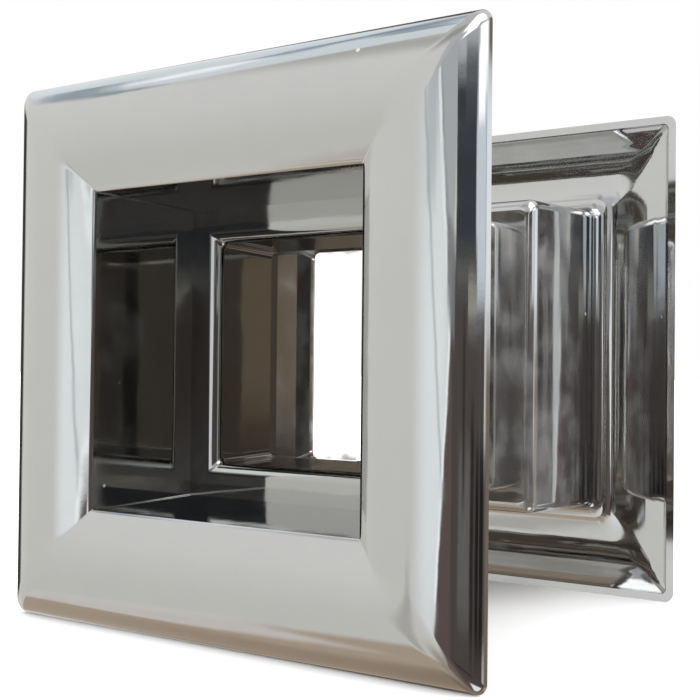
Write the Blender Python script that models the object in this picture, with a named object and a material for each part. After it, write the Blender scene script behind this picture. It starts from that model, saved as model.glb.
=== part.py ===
"""Square door vent sleeve: two flanged halves that plug into each other through a door.

Both halves are hollow mouldings. Each has a domed, mitred picture-frame flange, a square
box sleeve that sits in the cut-out of the door, a step (the ring) at the end of that box,
and a narrower square tube. The tube of the front half is the spigot, the tube of the rear
half is the socket, and the spigot slides in the socket to suit the door's thickness.

Units are metres, +Z is up, the front faces -Y. The origin is at the bottom centre of the
whole object, which stands on the lower edges of its two flanges.
"""
from math import cos, pi, sin, sqrt

import bmesh
import bpy
from mathutils import Vector
from mathutils.geometry import interpolate_bezier

MM = 0.001

# Driving dimensions. Half widths are measured from the centre line of the square passage,
# depths from the plane of the opening edge towards the back of the same half.
OPENING_HALF = 15.0 * MM
FLANGE_HALF = 25.95 * MM
FLANGE_CROWN_HALF = 20.2 * MM
FLANGE_CROWN_RISE = 1.74 * MM
FLANGE_SHOULDER_HALF = 23.9 * MM
FLANGE_SHOULDER_RISE = 0.95 * MM
RIM_DEPTH = 1.0 * MM
RIM_LIP = 0.8 * MM
FLANGE_WALL = 0.9 * MM
BOX_OUTER_HALF = 16.5 * MM
BOX_OUTER_END_HALF = 16.05 * MM
BOX_INNER_END_HALF = 14.65 * MM
FRONT_RING_DEPTH = 13.3 * MM
REAR_RING_DEPTH = 13.7 * MM
RING_WALL = 1.25 * MM
SPIGOT_OUTER_HALF = 12.0 * MM
SPIGOT_INNER_HALF = 11.25 * MM
SPIGOT_INNER_END_HALF = 11.0 * MM
SPIGOT_EASE_HALF = 11.4 * MM
SPIGOT_EASE_LENGTH = 1.9 * MM
SPIGOT_END_DEPTH = 23.8 * MM
SLIDING_GAP = 0.3 * MM
SOCKET_OUTER_HALF = 13.55 * MM
SOCKET_OUTER_END_HALF = 13.4 * MM
SOCKET_HOLE_HALF = 11.75 * MM
SOCKET_TAPER = 1.9 * MM
SOCKET_LENGTH = 10.75 * MM
OPENINGS_APART = 45.2 * MM

# Roundings seen along the passage, and corner radii seen across it.
BOX_END_ROUND = 1.25 * MM
ROOT_ROUND = 1.1 * MM
SPIGOT_HOLE_ROUND = 1.2 * MM
SOCKET_HOLE_ROUND = 0.6 * MM
TUBE_END_ROUND = 0.25 * MM
CRISP_CORNER = 0.12 * MM
CROWN_CORNER = 2.4 * MM
FLANGE_CORNER = 1.0 * MM
BOX_CORNER = 1.0 * MM
TUBE_CORNER = 0.8 * MM

CORNER_STEPS = 3
CURVE_STEPS = 5
ARC_STEPS = 3

WHOLE_DEPTH = OPENINGS_APART + 2.0 * FLANGE_CROWN_RISE
FRONT_OPENING_Y = FLANGE_CROWN_RISE - WHOLE_DEPTH / 2.0
REAR_OPENING_Y = FRONT_OPENING_Y + OPENINGS_APART


def clear_scene():
    for scene_object in list(bpy.data.objects):
        bpy.data.objects.remove(scene_object, do_unlink=True)


def chrome(name, colour, roughness):
    """Bright plated metal."""
    material = bpy.data.materials.new(name)
    material.use_nodes = True
    principled = material.node_tree.nodes["Principled BSDF"]
    principled.inputs["Base Color"].default_value = (*colour, 1.0)
    principled.inputs["Metallic"].default_value = 1.0
    principled.inputs["Roughness"].default_value = roughness
    return material


def span(start, start_handle, end_handle, end):
    """Points of one curved stretch, without its last point."""
    knots = [Vector((half, depth, 0.0)) for half, depth in (start, start_handle, end_handle, end)]
    points = interpolate_bezier(*knots, CURVE_STEPS + 1)
    return [(point.x, point.y) for point in points[:-1]]


def quarter(start, corner, end):
    """Points of a rounded corner, both ends included, as a rational quadratic arc."""
    points = []
    for step in range(ARC_STEPS + 1):
        t = step / ARC_STEPS
        weights = ((1.0 - t) ** 2, sqrt(2.0) * t * (1.0 - t), t ** 2)
        half = sum(weight * point[0] for weight, point in zip(weights, (start, corner, end)))
        depth = sum(weight * point[1] for weight, point in zip(weights, (start, corner, end)))
        points.append((half / sum(weights), depth / sum(weights)))
    return points


def with_radius(points, first, last):
    """Give each point a corner radius that goes evenly from first to last."""
    count = max(len(points) - 1, 1)
    return [(half, depth, first + (last - first) * index / count)
            for index, (half, depth) in enumerate(points)]


def flange_face():
    """The domed front of the flange, from the opening edge out to the rim."""
    crown = (FLANGE_CROWN_HALF, -FLANGE_CROWN_RISE)
    shoulder = (FLANGE_SHOULDER_HALF, -FLANGE_SHOULDER_RISE)
    opening = (OPENING_HALF, 0.0)
    rim = (FLANGE_HALF, RIM_DEPTH)
    inner = span(opening, (16.6 * MM, -0.85 * MM), (18.0 * MM, -1.74 * MM), crown)
    dome = span(crown, (21.6 * MM, -1.74 * MM), (22.9 * MM, -1.42 * MM), shoulder)
    outer = span(shoulder, (24.9 * MM, -0.42 * MM), (25.75 * MM, 0.30 * MM), rim)
    return (with_radius(inner, CRISP_CORNER, 0.8 * CROWN_CORNER)
            + with_radius(dome, CROWN_CORNER, 1.2 * FLANGE_CORNER)
            + with_radius(outer + [rim], FLANGE_CORNER, FLANGE_CORNER))


def flange_hollow():
    """The back of the flange, from the lip of the rim in to the wall of the box."""
    lip = (FLANGE_HALF - RIM_LIP, RIM_DEPTH)
    shoulder = (FLANGE_SHOULDER_HALF - 0.5 * FLANGE_WALL, -0.18 * MM)
    crown = (FLANGE_CROWN_HALF, FLANGE_WALL - FLANGE_CROWN_RISE)
    foot = (BOX_OUTER_HALF + ROOT_ROUND + 0.2 * MM, -0.45 * MM)
    side = (BOX_OUTER_HALF, -0.45 * MM + ROOT_ROUND)
    corner = (BOX_OUTER_HALF, -0.45 * MM)
    slope = span(lip, (25.05 * MM, 0.60 * MM), (24.40 * MM, 0.20 * MM), shoulder)
    floor = span(shoulder, (22.6 * MM, -0.60 * MM), (21.4 * MM, -0.84 * MM), crown)
    ramp = span(crown, (19.2 * MM, -0.84 * MM), (18.4 * MM, -0.72 * MM), foot)
    root = quarter(foot, corner, side)
    return (with_radius(slope, FLANGE_CORNER - 0.4 * MM, 0.8 * FLANGE_CORNER)
            + with_radius(floor, FLANGE_CORNER, 0.9 * CROWN_CORNER)
            + with_radius(ramp + root, 0.9 * CROWN_CORNER, BOX_CORNER))


def box_outside(ring_depth, tube_half):
    """The outside of the box, over its rounded end, to the root of the tube."""
    end = ring_depth + RING_WALL
    side = (BOX_OUTER_END_HALF, end - BOX_END_ROUND)
    corner = (BOX_OUTER_END_HALF, end)
    face = (BOX_OUTER_END_HALF - BOX_END_ROUND, end)
    return (with_radius(quarter(side, corner, face), BOX_CORNER, BOX_CORNER)
            + [(tube_half, end, TUBE_CORNER)])


def box_inside(ring_depth, hole_half, hole_round):
    """The inside of the box, from the rounded hole in the ring out to the opening."""
    wall = (hole_half, ring_depth + hole_round)
    corner = (hole_half, ring_depth)
    face = (hole_half + hole_round, ring_depth)
    return (with_radius(quarter(wall, corner, face), TUBE_CORNER, CRISP_CORNER)
            + [(BOX_INNER_END_HALF, ring_depth, CRISP_CORNER)])


def tube_end(outer_half, inner_half, depth):
    """The free end of a tube, with its two edges broken."""
    outer = (outer_half, depth - TUBE_END_ROUND, TUBE_CORNER)
    land_outer = (outer_half - TUBE_END_ROUND, depth, TUBE_CORNER)
    land_inner = (inner_half + TUBE_END_ROUND, depth, TUBE_CORNER)
    inner = (inner_half, depth - TUBE_END_ROUND, TUBE_CORNER)
    return [outer, land_outer, land_inner, inner]


def front_section():
    return (flange_face()
            + flange_hollow()
            + box_outside(FRONT_RING_DEPTH, SPIGOT_OUTER_HALF)
            + tube_end(SPIGOT_OUTER_HALF, SPIGOT_EASE_HALF, SPIGOT_END_DEPTH)
            + [(SPIGOT_INNER_END_HALF, SPIGOT_END_DEPTH - SPIGOT_EASE_LENGTH, TUBE_CORNER)]
            + box_inside(FRONT_RING_DEPTH, SPIGOT_INNER_HALF, SPIGOT_HOLE_ROUND))


def rear_section():
    bore_half = SPIGOT_OUTER_HALF + SLIDING_GAP
    shoulder_depth = REAR_RING_DEPTH + RING_WALL
    socket_end_depth = shoulder_depth + SOCKET_LENGTH
    taper = [(bore_half, shoulder_depth + SOCKET_TAPER, TUBE_CORNER),
             (SOCKET_HOLE_HALF, shoulder_depth, TUBE_CORNER)]
    return (flange_face()
            + flange_hollow()
            + box_outside(REAR_RING_DEPTH, SOCKET_OUTER_HALF)
            + tube_end(SOCKET_OUTER_END_HALF, bore_half, socket_end_depth)
            + taper
            + box_inside(REAR_RING_DEPTH, SOCKET_HOLE_HALF, SOCKET_HOLE_ROUND))


def rounded_square(half, radius):
    """Corner points of a square with rounded corners, anticlockwise in X and Z."""
    centre = half - radius
    points = []
    for quadrant, (side_x, side_z) in enumerate(((1, 1), (-1, 1), (-1, -1), (1, -1))):
        for step in range(CORNER_STEPS + 1):
            turn = (quadrant + step / CORNER_STEPS) * pi / 2.0
            points.append((side_x * centre + radius * cos(turn), side_z * centre + radius * sin(turn)))
    return points


def loft(name, section, direction, material):
    """A closed square ring of material, lofted along its section.

    direction is 1 for a half whose back lies towards +Y and -1 for the other one.
    """
    shape = bmesh.new()
    rings = []
    for half, depth, radius in section:
        ring = [shape.verts.new((x, direction * depth, z)) for x, z in rounded_square(half, radius)]
        rings.append(ring)
    for ring, following in zip(rings, rings[1:] + rings[:1]):
        for index in range(len(ring)):
            after = (index + 1) % len(ring)
            shape.faces.new((ring[index], ring[after], following[after], following[index]))
    bmesh.ops.recalc_face_normals(shape, faces=shape.faces)
    mesh = bpy.data.meshes.new(name)
    shape.to_mesh(mesh)
    shape.free()
    mesh.shade_smooth()
    mesh.set_sharp_from_angle(angle=0.6)
    mesh.materials.append(material)
    return bpy.data.objects.new(name, mesh)


def build():
    clear_scene()
    parts = bpy.data.collections.new("square_door_vent_sleeve")
    bpy.context.scene.collection.children.link(parts)

    frame = bpy.data.objects.new("passage_axis", None)
    frame.location = (0.0, 0.0, FLANGE_HALF)
    parts.objects.link(frame)

    front = loft("front_sleeve", front_section(), 1, chrome("front_chrome", (0.80, 0.80, 0.79), 0.06))
    front.location = (0.0, FRONT_OPENING_Y, 0.0)
    rear = loft("rear_sleeve", rear_section(), -1, chrome("rear_chrome", (0.78, 0.78, 0.77), 0.07))
    rear.location = (0.0, REAR_OPENING_Y, 0.0)
    for half in (front, rear):
        parts.objects.link(half)
        half.parent = frame


build()
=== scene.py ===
"""Looks for the square door vent sleeve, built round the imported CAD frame.

Both plated halves are rebuilt as fine meshes on the CAD's own section, so that the chrome
reflects cleanly, and they stand in a plain pale studio. Only the edge of each opening, sharp in
the CAD, is eased a little.
"""
from math import cos, pi, radians, sin, sqrt

import bmesh
import bpy
from mathutils import Matrix, Vector
from mathutils.geometry import interpolate_bezier


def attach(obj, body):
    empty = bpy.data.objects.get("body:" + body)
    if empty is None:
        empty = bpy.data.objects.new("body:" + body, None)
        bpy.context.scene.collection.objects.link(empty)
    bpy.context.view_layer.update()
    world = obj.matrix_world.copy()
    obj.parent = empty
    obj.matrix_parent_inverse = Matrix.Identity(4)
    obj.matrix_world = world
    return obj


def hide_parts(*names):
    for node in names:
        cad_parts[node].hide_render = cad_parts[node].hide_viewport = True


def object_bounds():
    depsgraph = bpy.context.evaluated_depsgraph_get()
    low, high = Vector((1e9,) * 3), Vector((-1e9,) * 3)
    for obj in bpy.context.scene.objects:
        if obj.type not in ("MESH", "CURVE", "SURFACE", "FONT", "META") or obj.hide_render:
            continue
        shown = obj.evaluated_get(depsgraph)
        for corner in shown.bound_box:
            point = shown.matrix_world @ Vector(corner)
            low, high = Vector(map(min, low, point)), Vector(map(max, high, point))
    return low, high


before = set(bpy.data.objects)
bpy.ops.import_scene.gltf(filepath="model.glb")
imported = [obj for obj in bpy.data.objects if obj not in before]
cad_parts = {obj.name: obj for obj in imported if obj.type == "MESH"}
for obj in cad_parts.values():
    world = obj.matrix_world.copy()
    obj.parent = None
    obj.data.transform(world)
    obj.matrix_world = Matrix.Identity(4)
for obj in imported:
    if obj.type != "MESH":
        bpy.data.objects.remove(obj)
CAD_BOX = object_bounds()

MM = 0.001

# The section of the two halves, as in the CAD. Half widths are measured from the centre line
# of the passage, depths from the plane of the opening edge towards the back of the same half.
OPENING_HALF = 15.0 * MM
FLANGE_HALF = (CAD_BOX[1].x - CAD_BOX[0].x) / 2.0
CROWN_HALF = 20.2 * MM
CROWN_RISE = 1.74 * MM
SHOULDER_HALF = 23.9 * MM
SHOULDER_RISE = 0.95 * MM
RIM_DEPTH = 1.0 * MM
RIM_LIP = 0.8 * MM
FLANGE_WALL = 0.9 * MM
BOX_OUTER_HALF = 16.5 * MM
BOX_OUTER_END_HALF = 16.05 * MM
BOX_INNER_END_HALF = 14.65 * MM
FRONT_RING_DEPTH = 13.3 * MM
REAR_RING_DEPTH = 13.7 * MM
RING_WALL = 1.25 * MM
SPIGOT_OUTER_HALF = 12.0 * MM
SPIGOT_INNER_HALF = 11.25 * MM
SPIGOT_INNER_END_HALF = 11.0 * MM
SPIGOT_EASE_HALF = 11.4 * MM
SPIGOT_EASE_LENGTH = 1.9 * MM
SPIGOT_END_DEPTH = 23.8 * MM
SLIDING_GAP = 0.3 * MM
SOCKET_OUTER_HALF = 13.55 * MM
SOCKET_OUTER_END_HALF = 13.4 * MM
SOCKET_HOLE_HALF = 11.75 * MM
SOCKET_TAPER = 1.9 * MM
SOCKET_LENGTH = 10.75 * MM

BOX_END_ROUND = 1.25 * MM
ROOT_ROUND = 1.1 * MM
SPIGOT_HOLE_ROUND = 1.2 * MM
SOCKET_HOLE_ROUND = 0.6 * MM
TUBE_END_ROUND = 0.25 * MM
CRISP_CORNER = 0.12 * MM
CROWN_CORNER = 2.4 * MM
FLANGE_CORNER = 1.0 * MM
LIP_CORNER = FLANGE_CORNER - 0.4 * MM
HOLLOW_CORNER = 0.9 * CROWN_CORNER
BOX_CORNER = 1.0 * MM
TUBE_CORNER = 0.8 * MM

# Where the curved stretches of the flange meet, and the handles that shape each one.
EDGE_DEPTH = 0.074 * MM
EASED_POINT = (15.357 * MM, -0.1915 * MM)
EDGE_HANDLES = ((15.118 * MM, -0.038 * MM), (15.237 * MM, -0.1265 * MM))
INNER_HANDLES = ((16.8145 * MM, -0.9785 * MM), (18.165 * MM, -CROWN_RISE))
DOME_HANDLES = ((21.6 * MM, -CROWN_RISE), (22.9 * MM, -1.42 * MM))
OUTER_HANDLES = ((24.9 * MM, -0.42 * MM), (25.75 * MM, 0.30 * MM))
HOLLOW_SHOULDER_DEPTH = -0.18 * MM
SLOPE_HANDLES = ((25.05 * MM, 0.60 * MM), (24.40 * MM, 0.20 * MM))
HOLLOW_HANDLES = ((22.6 * MM, -0.60 * MM), (21.4 * MM, FLANGE_WALL - CROWN_RISE))
RAMP_HANDLES = ((19.2 * MM, FLANGE_WALL - CROWN_RISE), (18.4 * MM, -0.72 * MM))
ROOT_DEPTH = -0.45 * MM
ROOT_FOOT = 0.2 * MM

CENTRE_Z = FLANGE_HALF
FRONT_OPENING_Y = CAD_BOX[0].y + CROWN_RISE
REAR_OPENING_Y = CAD_BOX[1].y - CROWN_RISE

CORNER_STEPS = 12
SIDE_STEPS = 12
CURVE_STEPS = 20
ARC_STEPS = 12
MITRE_LATENESS = 3.0
SHARP_ANGLE = radians(11.0)

# The plating: how much light it gives back, the scales of its noises per metre, the heights of
# its bump in metres, and what dust and stains do to it.
REFLECTANCE = 0.57
WAVE_SCALE = 120.0
WAVE_HEIGHT = 0.00004
GRAIN_SCALE = 2600.0
GRAIN_HEIGHT = 0.0000006
SMEAR_SCALE = 300.0
PLAIN_ROUGHNESS = 0.045
SMEAR_ROUGHNESS = 0.05
DUST_SCALE = 330.0
DUST_SIZE = 0.075
DUST_CORE = 0.03
DUSTY_AREA_SCALE = 170.0
STAIN_SCALE = 210.0
LEAST_STAIN = 0.03
STAIN_RANGE = 0.14
STAIN_COLOUR = (0.36, 0.355, 0.34, 1.0)

# Soft edges, as (start, end), of the parts of the surface that are duller (the stained outsides
# of the boxes and tubes) and of the passage, where shade is painted into the plating's colour:
# half widths from the centre line, and depths from the middle of the object.
BOX_SIDE = (15.0 * MM, 15.2 * MM)
BOX_REACH = (20.0 * MM, 18.0 * MM)
TUBE_SIDE = (11.6 * MM, 11.8 * MM)
TUBE_REACH = (8.6 * MM, 8.4 * MM)
PAINTED_SHADE_PASSAGE_SIDE = (15.05 * MM, 14.95 * MM)

# The camera, fitted to the photograph's viewing angle. Its place is in sides of the opening,
# from the middle of the front opening.
LENS = 59.31
SENSOR = 36.0
CAMERA_RIGHT = 2.178
CAMERA_BACK = 2.5645
CAMERA_BELOW = 0.046
LOOKING = (-0.55535, 0.83147, 0.01544)
ROLL = radians(0.580)

# The studio's own light, what it gives the floor, and the floor.
DISPLAY_GAMMA = 2.2
WALL_RISE = (-30.0, 45.0)
FLOOR_LIGHT = (2.4, 2.4, 2.4, 1.0)
BACKDROP = (1.0, 1.0, 1.0, 1.0)
FLOOR_REACH = 3.0
FLOOR_COLOUR = (0.84, 0.84, 0.84, 1.0)
FLOOR_ROUGHNESS = 0.9


def span(start, start_handle, end_handle, end):
    """Points of one curved stretch, without its last point."""
    knots = [Vector((half, depth, 0.0)) for half, depth in (start, start_handle, end_handle, end)]
    points = interpolate_bezier(*knots, CURVE_STEPS + 1)
    return [(point.x, point.y) for point in points[:-1]]


def quarter(start, corner, end):
    """Points of a rounded corner, both ends included, as a rational quadratic arc."""
    points = []
    for step in range(ARC_STEPS + 1):
        t = step / ARC_STEPS
        weights = ((1.0 - t) ** 2, sqrt(2.0) * t * (1.0 - t), t ** 2)
        half = sum(weight * point[0] for weight, point in zip(weights, (start, corner, end)))
        depth = sum(weight * point[1] for weight, point in zip(weights, (start, corner, end)))
        points.append((half / sum(weights), depth / sum(weights)))
    return points


def with_radius(points, first, last, late=1.0):
    """Give each point a corner radius that goes from first to last, evenly or mostly late."""
    count = max(len(points) - 1, 1)
    return [(half, depth, first + (last - first) * (index / count) ** late)
            for index, (half, depth) in enumerate(points)]


def flange_face():
    """The domed front of the flange, from the eased edge of the opening out to the rim."""
    crown = (CROWN_HALF, -CROWN_RISE)
    shoulder = (SHOULDER_HALF, -SHOULDER_RISE)
    opening = (OPENING_HALF, EDGE_DEPTH)
    rim = (FLANGE_HALF, RIM_DEPTH)
    edge = span(opening, *EDGE_HANDLES, EASED_POINT)
    inner = span(EASED_POINT, *INNER_HANDLES, crown)
    dome = span(crown, *DOME_HANDLES, shoulder)
    outer = span(shoulder, *OUTER_HANDLES, rim)
    return (with_radius(edge, CRISP_CORNER, CRISP_CORNER)
            + with_radius(inner, CRISP_CORNER, CROWN_CORNER, MITRE_LATENESS)
            + with_radius(dome, CROWN_CORNER, FLANGE_CORNER)
            + with_radius(outer + [rim], FLANGE_CORNER, FLANGE_CORNER))


def flange_hollow():
    """The back of the flange, from the lip of the rim in to the wall of the box."""
    lip = (FLANGE_HALF - RIM_LIP, RIM_DEPTH)
    shoulder = (SHOULDER_HALF - 0.5 * FLANGE_WALL, HOLLOW_SHOULDER_DEPTH)
    crown = (CROWN_HALF, FLANGE_WALL - CROWN_RISE)
    foot = (BOX_OUTER_HALF + ROOT_ROUND + ROOT_FOOT, ROOT_DEPTH)
    side = (BOX_OUTER_HALF, ROOT_DEPTH + ROOT_ROUND)
    corner = (BOX_OUTER_HALF, ROOT_DEPTH)
    slope = span(lip, *SLOPE_HANDLES, shoulder)
    hollow = span(shoulder, *HOLLOW_HANDLES, crown)
    ramp = span(crown, *RAMP_HANDLES, foot)
    root = quarter(foot, corner, side)
    return (with_radius(slope, LIP_CORNER, FLANGE_CORNER)
            + with_radius(hollow, FLANGE_CORNER, HOLLOW_CORNER)
            + with_radius(ramp + root, HOLLOW_CORNER, BOX_CORNER))


def box_outside(ring_depth, tube_half):
    """The outside of the box, over its rounded end, to the root of the tube."""
    end = ring_depth + RING_WALL
    side = (BOX_OUTER_END_HALF, end - BOX_END_ROUND)
    corner = (BOX_OUTER_END_HALF, end)
    face = (BOX_OUTER_END_HALF - BOX_END_ROUND, end)
    return (with_radius(quarter(side, corner, face), BOX_CORNER, BOX_CORNER)
            + [(tube_half, end, TUBE_CORNER)])


def box_inside(ring_depth, hole_half, hole_round):
    """The inside of the box, from the rounded hole in the ring out to the opening."""
    wall = (hole_half, ring_depth + hole_round)
    corner = (hole_half, ring_depth)
    face = (hole_half + hole_round, ring_depth)
    return (with_radius(quarter(wall, corner, face), TUBE_CORNER, CRISP_CORNER)
            + [(BOX_INNER_END_HALF, ring_depth, CRISP_CORNER)])


def tube_end(outer_half, inner_half, depth):
    """The free end of a tube, with its two edges broken."""
    outer = (outer_half, depth - TUBE_END_ROUND, TUBE_CORNER)
    land_outer = (outer_half - TUBE_END_ROUND, depth, TUBE_CORNER)
    land_inner = (inner_half + TUBE_END_ROUND, depth, TUBE_CORNER)
    inner = (inner_half, depth - TUBE_END_ROUND, TUBE_CORNER)
    return [outer, land_outer, land_inner, inner]


def front_section():
    """The closed section of the front half, with the spigot."""
    return (flange_face()
            + flange_hollow()
            + box_outside(FRONT_RING_DEPTH, SPIGOT_OUTER_HALF)
            + tube_end(SPIGOT_OUTER_HALF, SPIGOT_EASE_HALF, SPIGOT_END_DEPTH)
            + [(SPIGOT_INNER_END_HALF, SPIGOT_END_DEPTH - SPIGOT_EASE_LENGTH, TUBE_CORNER)]
            + box_inside(FRONT_RING_DEPTH, SPIGOT_INNER_HALF, SPIGOT_HOLE_ROUND))


def rear_section():
    """The closed section of the rear half, with the socket."""
    bore_half = SPIGOT_OUTER_HALF + SLIDING_GAP
    shoulder_depth = REAR_RING_DEPTH + RING_WALL
    socket_end_depth = shoulder_depth + SOCKET_LENGTH
    taper = [(bore_half, shoulder_depth + SOCKET_TAPER, TUBE_CORNER),
             (SOCKET_HOLE_HALF, shoulder_depth, TUBE_CORNER)]
    return (flange_face()
            + flange_hollow()
            + box_outside(REAR_RING_DEPTH, SOCKET_OUTER_HALF)
            + tube_end(SOCKET_OUTER_END_HALF, bore_half, socket_end_depth)
            + taper
            + box_inside(REAR_RING_DEPTH, SOCKET_HOLE_HALF, SOCKET_HOLE_ROUND))


def rounded_square(half, radius):
    """Points of a square with rounded corners, anticlockwise in X and Z."""
    centre = half - radius
    points = []
    for quadrant, (side_x, side_z) in enumerate(((1, 1), (-1, 1), (-1, -1), (1, -1))):
        for step in range(CORNER_STEPS + 1):
            turn = (quadrant + step / CORNER_STEPS) * pi / 2.0
            points.append((side_x * centre + radius * cos(turn),
                           side_z * centre + radius * sin(turn)))
        next_x, next_z = ((-1, 1), (-1, -1), (1, -1), (1, 1))[quadrant]
        last_x, last_z = points[-1]
        turn = (quadrant + 1) * pi / 2.0
        first_x = next_x * centre + radius * cos(turn)
        first_z = next_z * centre + radius * sin(turn)
        for step in range(1, SIDE_STEPS):
            t = step / SIDE_STEPS
            points.append((last_x + (first_x - last_x) * t, last_z + (first_z - last_z) * t))
    return points


def loft(name, section, direction, opening_y):
    """A closed square ring of material, lofted along its section."""
    shape = bmesh.new()
    rings = []
    for half, depth, radius in section:
        ring = [shape.verts.new((x, opening_y + direction * depth, CENTRE_Z + z))
                for x, z in rounded_square(half, radius)]
        rings.append(ring)
    for ring, following in zip(rings, rings[1:] + rings[:1]):
        for index in range(len(ring)):
            after = (index + 1) % len(ring)
            shape.faces.new((ring[index], ring[after], following[after], following[index]))
    bmesh.ops.recalc_face_normals(shape, faces=shape.faces)
    mesh = bpy.data.meshes.new(name)
    shape.to_mesh(mesh)
    shape.free()
    mesh.shade_smooth()
    mesh.set_sharp_from_angle(angle=SHARP_ANGLE)
    piece = bpy.data.objects.new(name, mesh)
    bpy.context.scene.collection.objects.link(piece)
    weighted = piece.modifiers.new("even_normals", "WEIGHTED_NORMAL")
    weighted.keep_sharp = True
    return piece


class Graph:
    """Short ways to add the nodes that the studio and the plating are made of."""

    def __init__(self, tree):
        self.nodes = tree.nodes
        self.links = tree.links

    def feed(self, socket, value):
        """Link a value that comes from a socket, and set any other."""
        if isinstance(value, bpy.types.NodeSocket):
            self.links.new(value, socket)
        else:
            socket.default_value = value

    def math(self, operation, first, second=0.0, third=0.0):
        node = self.nodes.new("ShaderNodeMath")
        node.operation = operation
        for socket, value in zip(node.inputs, (first, second, third)):
            self.feed(socket, value)
        return node.outputs[0]

    def ease(self, value, start, end):
        """0 up to start, 1 from end on, and a smooth step between them."""
        node = self.nodes.new("ShaderNodeMapRange")
        node.interpolation_type = "SMOOTHSTEP"
        self.feed(node.inputs["Value"], value)
        node.inputs["From Min"].default_value = start
        node.inputs["From Max"].default_value = end
        return node.outputs["Result"]

    def noise(self, place, scale, detail):
        node = self.nodes.new("ShaderNodeTexNoise")
        node.inputs["Scale"].default_value = scale
        node.inputs["Detail"].default_value = detail
        self.links.new(place, node.inputs["Vector"])
        return node.outputs["Fac"]

    def mix(self, amount, first, second):
        node = self.nodes.new("ShaderNodeMix")
        node.data_type = "RGBA"
        self.feed(node.inputs["Factor"], amount)
        self.feed(node.inputs[6], first)
        self.feed(node.inputs[7], second)
        return node.outputs[2]


def plated(red, green, blue):
    """The plating's colour, as shares of the light it gives back."""
    return tuple(REFLECTANCE * channel for channel in (red, green, blue)) + (1.0,)


def recesses(graph, place):
    """Masks of the outsides of the boxes and tubes, and of the passage, where shade is painted."""
    axes = graph.nodes.new("ShaderNodeSeparateXYZ")
    graph.links.new(place, axes.inputs[0])
    sideways = graph.math("ABSOLUTE", axes.outputs["X"])
    upright = graph.math("ABSOLUTE", graph.math("SUBTRACT", axes.outputs["Z"], CENTRE_Z))
    half = graph.math("MAXIMUM", sideways, upright)
    depth = graph.math("ABSOLUTE", axes.outputs["Y"])
    box = graph.math("MULTIPLY", graph.ease(half, *BOX_SIDE), graph.ease(depth, *BOX_REACH))
    tube = graph.math("MULTIPLY", graph.ease(half, *TUBE_SIDE), graph.ease(depth, *TUBE_REACH))
    outside = graph.math("MAXIMUM", box, tube)
    # The passage mask: where shade is painted into the plating's colour.
    passage = graph.math("SUBTRACT", graph.ease(half, *PAINTED_SHADE_PASSAGE_SIDE), tube)
    return outside, passage


def chrome(name):
    """Bright plating on a moulding: slightly wavy, lightly wiped, with a few specks of dust.

    It is stained on the outsides of the boxes and tubes; inside the passage its colour is darker,
    as painted shade.
    """
    material = bpy.data.materials.new(name)
    material.use_nodes = True
    tree = material.node_tree
    graph = Graph(tree)
    principled = tree.nodes["Principled BSDF"]
    place = tree.nodes.new("ShaderNodeTexCoord").outputs["Object"]
    waves = graph.noise(place, WAVE_SCALE, 2.0)
    grain = graph.noise(place, GRAIN_SCALE, 3.0)
    smears = graph.noise(place, SMEAR_SCALE, 4.0)
    spots = tree.nodes.new("ShaderNodeTexVoronoi")
    spots.inputs["Scale"].default_value = DUST_SCALE
    tree.links.new(place, spots.inputs["Vector"])
    dusty = graph.ease(graph.noise(place, DUSTY_AREA_SCALE, 1.0), 0.60, 0.66)
    specks = graph.ease(spots.outputs["Distance"], DUST_SIZE, DUST_CORE)
    dust = graph.math("MULTIPLY", specks, dusty)

    outside, passage = recesses(graph, place)
    patches = graph.ease(graph.noise(place, STAIN_SCALE, 4.0), 0.42, 0.68)
    stains = graph.math("MULTIPLY_ADD", patches, STAIN_RANGE, LEAST_STAIN)
    dull = graph.math("MAXIMUM", dust, graph.math("MULTIPLY", outside, stains))

    clean = graph.mix(graph.ease(smears, 0.35, 0.70),
                      plated(1.0, 1.0, 0.985), plated(0.98, 0.98, 0.975))
    # Inside the passage the plating's colour is darker: shade painted into the recess.
    clean = graph.mix(passage, clean, plated(0.8, 0.8, 0.78))
    graph.feed(principled.inputs["Base Color"], graph.mix(dull, clean, STAIN_COLOUR))
    graph.feed(principled.inputs["Metallic"], graph.math("SUBTRACT", 1.0, dull))
    wiped = graph.math("MULTIPLY_ADD", graph.ease(smears, 0.40, 0.75),
                       SMEAR_ROUGHNESS, PLAIN_ROUGHNESS)
    graph.feed(principled.inputs["Roughness"], graph.math("MAXIMUM", wiped, dust))

    bump = tree.nodes.new("ShaderNodeBump")
    bump.inputs["Strength"].default_value = 1.0
    bump.inputs["Distance"].default_value = 1.0
    height = graph.math("MULTIPLY_ADD", grain, GRAIN_HEIGHT,
                        graph.math("MULTIPLY", waves, WAVE_HEIGHT))
    graph.feed(bump.inputs["Height"], height)
    graph.feed(principled.inputs["Normal"], bump.outputs["Normal"])
    return material


front = loft("front_half_plated", front_section(), 1, FRONT_OPENING_Y)
rear = loft("rear_half_plated", rear_section(), -1, REAR_OPENING_Y)
plating = chrome("bright_plating")
for piece, body, node in ((front, "front_half", "front_sleeve"),
                          (rear, "rear_half", "rear_sleeve")):
    piece.data.materials.append(plating)
    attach(piece, body)
    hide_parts(node)


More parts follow.
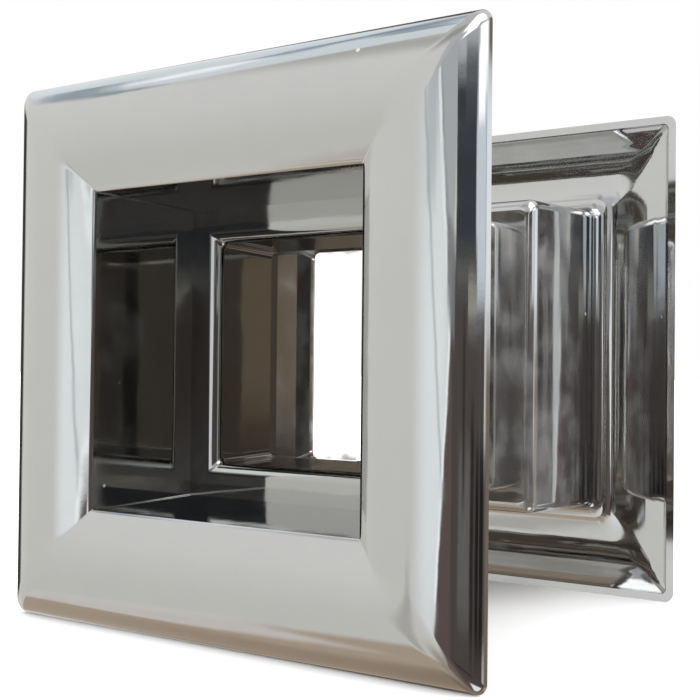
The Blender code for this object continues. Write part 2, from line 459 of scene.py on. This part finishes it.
def add_camera():
    """The camera stands right of the front face, nearly level with the middle of the opening."""
    unit = 2.0 * OPENING_HALF
    data = bpy.data.cameras.new("camera")
    data.lens = LENS
    data.sensor_width = SENSOR
    data.clip_start = 0.005
    data.clip_end = 100.0
    camera = bpy.data.objects.new("camera", data)
    bpy.context.scene.collection.objects.link(camera)
    camera.location = (CAMERA_RIGHT * unit,
                       FRONT_OPENING_Y - CAMERA_BACK * unit,
                       CENTRE_Z - CAMERA_BELOW * unit)
    looking = Vector(LOOKING).normalized()
    level = looking.to_track_quat("-Z", "Y").to_matrix().to_4x4()
    roll = Matrix.Rotation(ROLL, 4, "Z")
    camera.matrix_world = Matrix.Translation(camera.location) @ level @ roll
    bpy.context.scene.camera = camera


def light(red, green, blue, power=1.0):
    """A display colour from 0 to 1 as linear light, brighter by what the plating swallows."""
    channels = (red, green, blue)
    return tuple(power * channel ** DISPLAY_GAMMA / REFLECTANCE for channel in channels) + (1.0,)


# What stands round the object and shows in the plating: the middle of each card as azimuth and
# elevation in degrees, its half width and half height, tilt, softness, how solid it is, and colour.
# Azimuth runs anticlockwise from +X, so that 270 is in front of the object and 304 the camera.
# They are set one by one, and a later card covers an earlier one.
CARDS = [
    # The ceiling, and the floor from below eye level: warm to the left, dark to the right.
    (225, 68, 75, 24, 0, 5.0, 0.9, light(0.675, 0.675, 0.665)),
    (218, 52, 14, 4, 0, 4.0, 0.6, light(0.60, 0.60, 0.59)),
    (200, -66, 200, 30, 0, 3.0, 1.0, light(0.61, 0.56, 0.50)),
    (200, -80, 200, 22, 0, 8.0, 1.0, light(0.46, 0.41, 0.36)),
    (165, -55, 30, 9, 0, 8.0, 0.7, light(0.53, 0.47, 0.415)),
    (211, -39, 11, 6.5, 0, 3.0, 0.8, light(0.745, 0.735, 0.725)),
    (243, -22, 3.0, 12, 0, 2.0, 0.7, light(0.58, 0.575, 0.56)),
    (260, -52, 8, 26, 0, 5.0, 0.8, light(0.53, 0.49, 0.45)),
    (290, -60, 22, 40, 0, 4.0, 1.0, light(0.40, 0.36, 0.345)),
    (325, -52, 42, 28, 0, 6.0, 1.0, light(0.32, 0.275, 0.265)),
    (128, -42, 9, 10, 0, 6.0, 0.8, light(0.85, 0.82, 0.78)),
    (146, -38, 4, 10, 20, 4.0, 0.6, light(0.44, 0.41, 0.37)),
    # The windows of the room, far left and high up.
    (160, 50, 45, 13, 8, 4.0, 0.7, light(0.80, 0.84, 0.87)),
    (150, 58, 32, 2.0, 6, 1.5, 0.8, light(0.48, 0.53, 0.57)),
    (172, 56, 13, 1.6, -14, 1.4, 0.8, light(0.42, 0.48, 0.56)),
    (186, 50, 6, 2.0, -30, 2.0, 0.8, light(0.95, 0.96, 0.97)),
    (192, 43, 14, 1.8, -10, 1.6, 0.8, light(0.46, 0.51, 0.55)),
    # The light front wall, and the greyer wall right of it with its edges.
    (270, -2, 16, 14, 0, 11.0, 1.0, light(0.83, 0.85, 0.86)),
    (262, 46, 18, 11, 0, 5.0, 0.9, light(0.55, 0.555, 0.55)),
    (300, 28, 38, 15, 0, 3.0, 1.0, light(0.65, 0.66, 0.675)),
    (285.8, 15.8, 10, 12, 47, 0.8, 1.0, light(0.62, 0.635, 0.645)),
    (265, 12, 5, 3.5, 0, 2.0, 0.8, light(0.66, 0.69, 0.71)),
    (281.5, 9.0, 0.8, 9.5, 51, 0.7, 0.8, light(0.52, 0.54, 0.56)),
    (279.0, 8.5, 1.0, 9.5, 47, 0.6, 1.0, light(0.86, 0.88, 0.89)),
    (268.0, 4.0, 0.8, 16.0, 47, 0.7, 0.5, light(0.50, 0.52, 0.54)),
    # The dark side of the room behind the camera: its edge, two bright reveals, upright posts.
    (290.3, -16.5, 15, 16, -46, 0.9, 1.0, light(0.34, 0.295, 0.29)),
    (279.6, -4.9, 0.7, 10, -46, 0.6, 0.8, light(0.93, 0.95, 0.96)),
    (323, -19, 32, 24.5, 0, 1.5, 1.0, light(0.28, 0.26, 0.255)),
    (310, -21, 14, 4, 0, 3.0, 0.8, light(0.19, 0.165, 0.16)),
    (312, -8, 8, 4, 0, 2.0, 0.7, light(0.39, 0.385, 0.38)),
    (310, -2, 1.5, 5, 0, 1.5, 0.8, light(0.17, 0.165, 0.16)),
    (324, -8, 3, 6, 0, 2.0, 0.8, light(0.14, 0.135, 0.13)),
    (352, -9, 21, 5, 0, 2.0, 0.9, light(0.12, 0.115, 0.115)),
    (340.5, -5, 1.5, 8, 0, 1.5, 0.7, light(0.31, 0.30, 0.295)),
    (313.5, 9.2, 14.5, 5.3, 0, 1.0, 1.0, light(0.21, 0.225, 0.24)),
    (290, 4.4, 6.5, 2.2, -10, 1.0, 0.9, light(0.45, 0.455, 0.46)),
    (320, 14.5, 10, 1.6, 0, 1.5, 0.8, light(0.31, 0.32, 0.34)),
    (313, 4.6, 13, 0.7, 0, 0.5, 0.7, light(0.38, 0.38, 0.37)),
    (323, 3.4, 8, 0.8, 0, 0.6, 0.9, light(0.56, 0.56, 0.53)),
    # The window behind the camera, to the right and high up.
    (350, 9.2, 19, 5.8, 0, 1.2, 1.0, light(0.73, 0.76, 0.80)),
    (352, 19, 17, 5.0, 0, 2.0, 1.0, light(0.98, 1.0, 1.0, 1.2)),
    (341, 14, 9, 1.6, 0, 1.0, 0.9, light(0.97, 0.99, 1.0, 1.2)),
    (358, 9, 2.0, 4, 0, 1.5, 0.7, light(0.48, 0.50, 0.54)),
    (318, 60, 31, 21, 0, 3.0, 1.0, light(0.98, 1.0, 1.0, 1.7)),
    (310, 32, 12, 9, 0, 2.0, 1.0, light(0.97, 1.0, 1.0, 1.5)),
    (325, -66, 25, 14, 0, 4.0, 0.8, light(0.95, 0.96, 0.97)),
    # Behind the object: a brown wall, a dark doorway to its left, and the bright gap that
    # shows through the passage.
    (45, 0, 42, 40, 0, 8.0, 1.0, light(0.42, 0.38, 0.34)),
    (14, 8.5, 15, 6.5, 0, 3.0, 1.0, light(0.84, 0.86, 0.88)),
    (48, 0, 8, 36, 0, 2.0, 1.0, light(0.19, 0.18, 0.16)),
    (47, 2.0, 9, 4.8, 0, 2.5, 1.0, light(0.35, 0.31, 0.265)),
    (101, 0, 36, 52, 0, 5.0, 1.0, light(0.31, 0.285, 0.255)),
    (86, 0, 12, 14, 0, 4.0, 1.0, light(0.25, 0.235, 0.215)),
    (95, 40, 11, 22, 0, 5.0, 0.9, light(0.66, 0.65, 0.63)),
    (95, -35, 10, 17, 0, 5.0, 0.8, light(0.48, 0.46, 0.43)),
    (155, 0, 21, 15, 0, 4.0, 1.0, light(0.21, 0.195, 0.18)),
    (58.5, 0.7, 2.7, 5.0, 0, 0.4, 1.0, light(1.0, 1.0, 1.0, 2.5)),
]


def add_world():
    """Plain white for the camera, even light for the floor, and the cards for the plating."""
    world = bpy.data.worlds.new("studio")
    bpy.context.scene.world = world
    world.use_nodes = True
    tree = world.node_tree
    tree.nodes.clear()
    graph = Graph(tree)
    direction = tree.nodes.new("ShaderNodeTexCoord").outputs["Generated"]
    parts = tree.nodes.new("ShaderNodeSeparateXYZ")
    tree.links.new(direction, parts.inputs[0])
    turn = graph.math("ARCTAN2", parts.outputs["Y"], parts.outputs["X"])
    azimuth = graph.math("MULTIPLY", turn, 180.0 / pi)
    lift = graph.math("ARCSINE", parts.outputs["Z"])
    elevation = graph.math("MULTIPLY", lift, 180.0 / pi)

    wall = graph.mix(graph.ease(elevation, *WALL_RISE),
                     light(0.715, 0.715, 0.70), light(0.765, 0.765, 0.76))
    for middle, height, half_width, half_height, tilt, softness, solid, colour in CARDS:
        across = graph.math("WRAP", graph.math("SUBTRACT", azimuth, middle), -180.0, 180.0)
        upward = graph.math("SUBTRACT", elevation, height)
        if tilt:
            rise = sin(radians(tilt))
            run = cos(radians(tilt))
            tilted = graph.math("ADD", graph.math("MULTIPLY", across, run),
                                graph.math("MULTIPLY", upward, rise))
            upward = graph.math("SUBTRACT", graph.math("MULTIPLY", upward, run),
                                graph.math("MULTIPLY", across, rise))
            across = tilted
        inside = graph.ease(graph.math("ABSOLUTE", across),
                            half_width + softness, half_width - softness)
        level = graph.ease(graph.math("ABSOLUTE", upward),
                           half_height + softness, half_height - softness)
        cover = graph.math("MULTIPLY", graph.math("MULTIPLY", inside, level), solid)
        wall = graph.mix(cover, wall, colour)

    rays = tree.nodes.new("ShaderNodeLightPath")
    seen = graph.mix(rays.outputs["Is Glossy Ray"], FLOOR_LIGHT, wall)
    seen = graph.mix(rays.outputs["Is Camera Ray"], seen, BACKDROP)
    background = tree.nodes.new("ShaderNodeBackground")
    tree.links.new(seen, background.inputs["Color"])
    output = tree.nodes.new("ShaderNodeOutputWorld")
    tree.links.new(background.outputs[0], output.inputs["Surface"])


def add_floor():
    """A pale floor that takes a soft shadow. The plating mirrors the studio, not the floor."""
    mesh = bpy.data.meshes.new("floor")
    sides = ((-1, -1), (1, -1), (1, 1), (-1, 1))
    corners = [(side_x * FLOOR_REACH, side_y * FLOOR_REACH, 0.0) for side_x, side_y in sides]
    mesh.from_pydata(corners, [], [(0, 1, 2, 3)])
    floor = bpy.data.objects.new("floor", mesh)
    bpy.context.scene.collection.objects.link(floor)
    material = bpy.data.materials.new("pale_floor")
    material.use_nodes = True
    principled = material.node_tree.nodes["Principled BSDF"]
    principled.inputs["Base Color"].default_value = FLOOR_COLOUR
    principled.inputs["Roughness"].default_value = FLOOR_ROUGHNESS
    principled.inputs["Specular IOR Level"].default_value = 0.0
    mesh.materials.append(material)
    floor.visible_glossy = False


add_floor()
add_camera()
add_world()
bpy.context.scene.view_settings.view_transform = "Standard"
